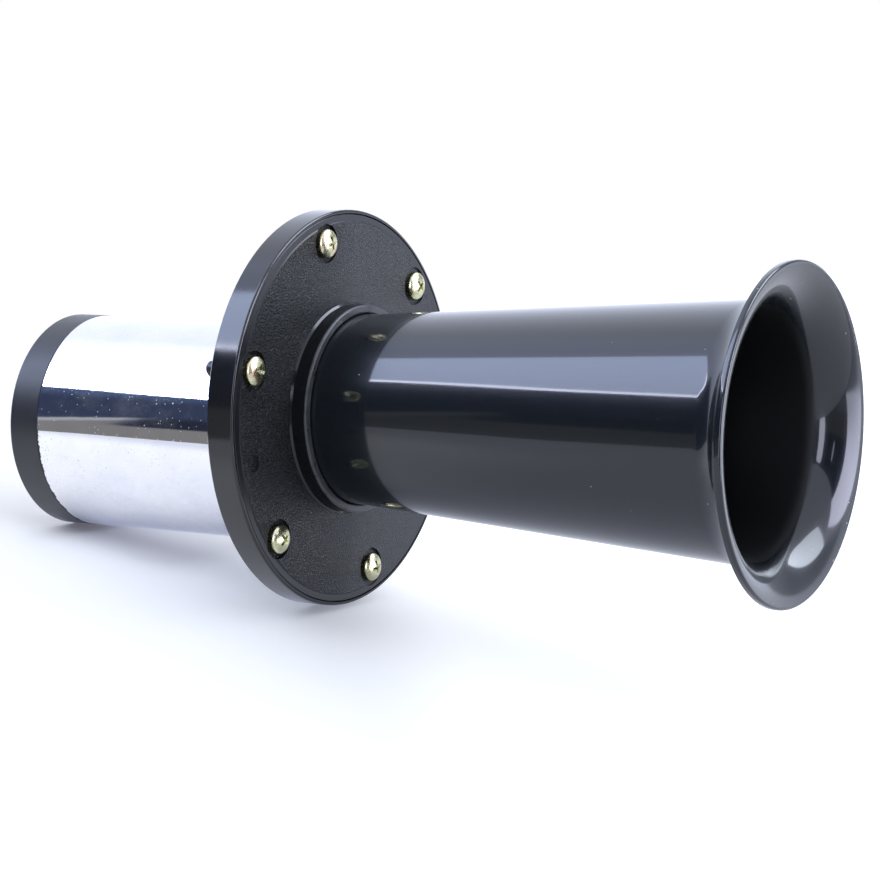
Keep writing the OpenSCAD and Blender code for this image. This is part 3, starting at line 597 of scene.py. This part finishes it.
def trumpet_loop():
    bore_r = SPIGOT_R - WALL
    spigot = [(bore_r, SPIGOT_BACK), (SPIGOT_R - CHAMFER_R, SPIGOT_BACK), (SPIGOT_R, SPIGOT_BACK + CHAMFER_X)]
    outside = arc(FLARE_R, FLARE_X, FLARE_OUTER, FLARE_START, FLARE_END, FLARE_STEPS)
    lip = LIP_CORNER + arc(LIP_R, LIP_X, LIP_ROUND, 0.0, FLARE_END, LIP_STEPS)
    bore = arc(FLARE_R, FLARE_X, FLARE_OUTER + WALL, FLARE_END, FLARE_START, FLARE_STEPS)
    return spigot + [(SPIGOT_R, SPIGOT_FRONT)] + outside + lip + bore + [(bore_r, SPIGOT_FRONT)]


def can_loop():
    rounded = CAN_OUTER - CAN_ROUND
    back_edge = arc(rounded, CAN_BACK + CAN_ROUND, CAN_ROUND, -90.0, 0.0, CAN_STEPS)
    front_edge = arc(rounded, CAN_FRONT - CAN_ROUND, CAN_ROUND, 0.0, 90.0, CAN_STEPS)
    return back_edge + front_edge + [(CAN_INNER, CAN_FRONT), (CAN_INNER, CAN_BACK)]


stand_in(lathe("trumpet_skin", trumpet_loop(), AXIS_Z), "trumpet", "housing")
stand_in(lathe("motor_can_skin", can_loop()), "motor_can", "housing")


# Floor: the plane that the horn lies on, touching the rear cap and the rim of the flange

CAP_FOOT = Vector((0.8 * MM, 0.0, -35.9 * MM))
RIM_FOOT = Vector((102.8 * MM, 0.0, -54.8 * MM))
FLOOR_SLOPE = (RIM_FOOT.z - CAP_FOOT.z) / (RIM_FOOT.x - CAP_FOOT.x)
UNDER_FEET = 0.1 * MM

# Corners of the paper in metres: its near edge shows in the chrome
PAPER_FAR = [(1.0, -1.0), (1.0, 1.2), (-0.2, 1.2)]
PAPER_NEAR = [(-0.2, 0.0), (-0.08, -0.166), (-0.01, -0.198), (0.044, -0.25), (0.06, -0.35), (0.35, -1.0)]

PAPER = rgb(0.86, 0.87, 0.88)
GLOW_BEHIND = rgb(0.205, 0.221, 0.265)
# The glow is weaker by the can, a painted shadow, and stronger ahead of the horn and under the can, painted
# light
PAINTED_SHADOW_BY_THE_CAN = rgb(0.10, 0.10, 0.12)
PAINTED_LIGHT_AHEAD = rgb(0.50, 0.52, 0.57)
MIRRORED_GLOW = rgb(0.2, 0.22, 0.32)
MIRRORED_PAINTED_LIGHT_UNDER_CAN = rgb(0.62, 0.64, 0.74)


def floor_z(x):
    return CAP_FOOT.z + FLOOR_SLOPE * (x - CAP_FOOT.x) - UNDER_FEET


def emission(t, color):
    return t.add("ShaderNodeEmission", {"Color": color, "Strength": 1.0})


def lifted(t, body):
    """Diffuse paper with a glow for the camera and for mirrored rays, so that it comes out pale. The camera's
    glow is weaker by the can, a painted shadow, and stronger ahead of the horn, painted light; mirrored rays
    get painted light under the can.
    """
    ray = t.add("ShaderNodeLightPath").outputs
    x, y, _ = t.split(t.place())
    ahead = t.band(t.math("ADD", x, y), 0.085, 0.16)
    # painted shadow on the floor by the can
    painted_shadow_by_can = t.times(t.band(y, -0.035, -0.012), t.band(x, 0.062, 0.045))
    straight = t.mix(ahead, t.mix(painted_shadow_by_can, GLOW_BEHIND, PAINTED_SHADOW_BY_THE_CAN), PAINTED_LIGHT_AHEAD)
    # painted light on the floor under the can, for mirrored rays
    painted_light_under_can = t.times(t.band(x, 0.16, 0.06), t.band(y, -0.004, -0.04), t.band(y, -0.168, -0.115))
    mirrored = t.mix(painted_light_under_can, MIRRORED_GLOW, MIRRORED_PAINTED_LIGHT_UNDER_CAN)
    none = emission(t, rgb(0.0, 0.0, 0.0))
    glow = t.add("ShaderNodeMixShader", {0: ray["Is Camera Ray"], 1: none, 2: emission(t, straight)})
    glow = t.add("ShaderNodeMixShader", {0: ray["Is Glossy Ray"], 1: glow, 2: emission(t, mirrored)})
    return t.add("ShaderNodeAddShader", {0: body, 1: glow})


def make_floor():
    bm = bmesh.new()
    bm.faces.new([bm.verts.new((x, y, floor_z(x))) for x, y in PAPER_FAR + PAPER_NEAR])
    mesh = bpy.data.meshes.new("floor")
    bm.to_mesh(mesh)
    bm.free()
    floor = bpy.data.objects.new("floor", mesh)
    bpy.context.scene.collection.objects.link(floor)
    mat = bpy.data.materials.new("paper")
    mat.use_nodes = True
    t = Tree(mat.node_tree)
    body = t.add("ShaderNodeBsdfDiffuse", {"Color": PAPER})
    t.add("ShaderNodeOutputMaterial", {"Surface": lifted(t, body)})
    mesh.materials.append(mat)


make_floor()


# World: a white studio with a window up on the left and a darker room behind the camera

# Mirrored rays see all of it, scattered light sees a plainer one, and the camera sees white. Directions are
# degrees: azimuth 0 is -Y and 90 is +X, and the camera stands at about 39. A colour well over 1 is a light.

SKY = rgb(1.38, 1.47, 1.78)
LEFT_SKY = rgb(1.72, 1.9, 2.55)
ROOM = rgb(0.052, 0.07, 0.135)
ROOM_HAZE = rgb(0.09, 0.135, 0.28)
ROOM_CORNER = rgb(0.03, 0.035, 0.06)
BENCH = rgb(0.30, 0.295, 0.30)
BENCH_EDGE = rgb(0.55, 0.56, 0.62)
TABLE = rgb(0.5, 0.52, 0.62)
WALL_NEAR = rgb(0.68, 0.75, 0.92)
WALL_FAR = rgb(0.5, 0.55, 0.68)
WINDOW = rgb(5.4, 6.3, 9.0)
WINDOW_EDGE = rgb(17.0, 18.0, 23.0)
LAMP = rgb(6.6, 6.8, 8.4)
SMALL_LAMP = rgb(4.5, 4.7, 5.5)
HATCH = rgb(8.2, 9.0, 10.4)
DOOR_LOW = rgb(4.6, 4.9, 6.2)
DOOR_HIGH = rgb(8.8, 9.0, 11.4)
SOFT_SKY = rgb(1.12, 1.15, 1.22)
SOFT_ROOM = rgb(0.12, 0.13, 0.16)
SOFT_WINDOW = rgb(2.6, 2.7, 3.0)
WHITE = rgb(1.0, 1.0, 1.0)

CORNER_AZ = -38.6  # where the room turns from the left wall to the one behind the camera
SILL_DROP = 1.3  # how much lower the window's sill sits on its right
BENCH_RISE = 3.2  # degrees of elevation that the bench's end climbs for each degree of azimuth
BENCH_END = 130.9  # the elevation that the line of its end would reach at azimuth 0


def directions(t):
    """The azimuth and the elevation of the ray."""
    x, y, z = t.split(t.add("ShaderNodeTexCoord").outputs["Generated"])
    turn = t.math("ARCTAN2", x, t.math("MULTIPLY", y, -1.0))
    azimuth = t.math("MULTIPLY", turn, math.degrees(1.0))
    elevation = t.math("MULTIPLY", t.math("ARCSINE", z), math.degrees(1.0))
    return azimuth, elevation


def pane(t, across, upward, center, half, power):
    """Distance in a rounded rectangle of directions: 0 in its middle, 1 on its border."""
    parts = []
    for value, middle, reach in ((across, center[0], half[0]), (upward, center[1], half[1])):
        away = t.math("ABSOLUTE", t.math("MULTIPLY", t.math("SUBTRACT", value, middle), 1.0 / reach))
        parts.append(t.math("POWER", away, power))
    return t.math("POWER", t.math("ADD", parts[0], parts[1]), 1.0 / power)


def leaning(t, azimuth, elevation, lean):
    """The elevation plus lean times the azimuth: a level of it is a slanted line."""
    return t.math("ADD", elevation, t.math("MULTIPLY", azimuth, lean))


def room_colors(t, azimuth, elevation):
    """The dark room under the sky, with a bench along its foot."""
    color = t.mix(t.band(elevation, 22.0, 29.0), ROOM, ROOM_HAZE)
    left = t.band(azimuth, CORNER_AZ + 0.6, CORNER_AZ)
    over = t.math("SUBTRACT", leaning(t, azimuth, elevation, -BENCH_RISE), BENCH_END)
    bench = t.blend(left, t.band(elevation, 3.2, 1.0), t.band(over, 1.0, -1.0))
    color = t.mix(bench, color, BENCH)
    color = t.mix(t.times(left, t.within(over, -1.0, 1.0, 1.0)), color, BENCH_EDGE)
    low = t.times(t.band(elevation, 12.0, 8.0), t.band(elevation, 1.0, 3.0))
    return t.mix(t.times(t.band(azimuth, CORNER_AZ, CORNER_AZ + 1.0), low), color, ROOM_CORNER)


def sky_colors(t, azimuth):
    """White, and bluer and brighter on the left."""
    left = t.times(t.band(azimuth, -114.0, -88.0), t.band(azimuth, -40.0, -60.0))
    return t.mix(left, SKY, LEFT_SKY)


def with_walls(t, color, azimuth, elevation):
    """A table low on the right and a wall beyond it, which show in the bell."""
    table = t.times(t.band(elevation, -9.0, -12.0), t.band(azimuth, 60.0, 75.0))
    color = t.mix(table, color, TABLE)
    wall = t.times(t.band(azimuth, 117.0, 127.0), t.within(elevation, 9.0, 42.0, 4.0))
    return t.mix(wall, color, t.mix(t.band(azimuth, 146.0, 156.0), WALL_NEAR, WALL_FAR))


def with_lights(t, color, azimuth, elevation, over_sill):
    """A lamp by the camera, a small one to its right, and a hatch and a doorway ahead of the bell."""
    lamp = pane(t, azimuth, over_sill, (27.5, 9.0), (6.5, 19.0), 6.0)
    color = t.mix(t.band(lamp, 1.02, 0.97), color, LAMP)
    small_lamp = pane(t, azimuth, over_sill, (57.8, 13.5), (1.3, 6.0), 4.0)
    color = t.mix(t.band(small_lamp, 1.02, 0.97), color, SMALL_LAMP)

    hatch = t.band(pane(t, azimuth, over_sill, (131.5, 40.0), (32.0, 22.0), 2.6), 1.02, 0.97)
    foot = leaning(t, azimuth, elevation, -0.4)
    side = leaning(t, azimuth, elevation, 0.96)
    hatch = t.times(hatch, t.band(foot, -26.5, -24.0), t.band(side, 141.5, 144.0))
    color = t.mix(hatch, color, HATCH)

    door = t.times(t.within(azimuth, 89.0, 137.0, 1.0), t.within(elevation, -18.0, 29.0, 1.0))
    lintel = leaning(t, azimuth, elevation, 1.55)
    threshold = leaning(t, azimuth, elevation, -0.2)
    door = t.times(door, t.band(lintel, 200.0, 197.0), t.band(threshold, -35.4, -33.4))
    return t.mix(door, color, t.mix(t.band(elevation, -12.0, 6.0), DOOR_LOW, DOOR_HIGH))


def background(t, color):
    return t.add("ShaderNodeBackground", {"Color": color, "Strength": 1.0})


def make_world():
    world = bpy.data.worlds.new("studio")
    bpy.context.scene.world = world
    world.use_nodes = True
    t = Tree(world.node_tree)
    azimuth, elevation = directions(t)
    drop = t.math("MULTIPLY", t.band(azimuth, -47.5, -42.0), SILL_DROP)
    over_sill = t.math("ADD", elevation, drop)
    in_room = t.times(t.band(azimuth, -84.0, -76.0), t.band(azimuth, 100.0, 92.0))
    shaded = t.times(in_room, t.band(over_sill, 31.0, 29.6))
    window = pane(t, azimuth, over_sill, (-42.0, 47.0), (26.0, 17.2), 5.0)

    color = t.mix(shaded, sky_colors(t, azimuth), room_colors(t, azimuth, elevation))
    color = with_walls(t, color, azimuth, elevation)
    color = t.mix(t.band(window, 1.0, 0.985), color, WINDOW)
    edge = t.times(t.within(window, 0.91, 0.99, 0.015), t.band(elevation, 40.0, 36.0))
    color = t.mix(edge, color, WINDOW_EDGE)
    color = with_lights(t, color, azimuth, elevation, over_sill)

    soft = t.mix(shaded, SOFT_SKY, SOFT_ROOM)
    soft = t.mix(t.band(window, 1.0, 0.9), soft, SOFT_WINDOW)
    ray = t.add("ShaderNodeLightPath").outputs
    seen = {0: ray["Is Glossy Ray"], 1: background(t, soft), 2: background(t, color)}
    seen = {0: ray["Is Camera Ray"], 1: t.add("ShaderNodeMixShader", seen), 2: background(t, WHITE)}
    t.add("ShaderNodeOutputWorld", {"Surface": t.add("ShaderNodeMixShader", seen)})


make_world()
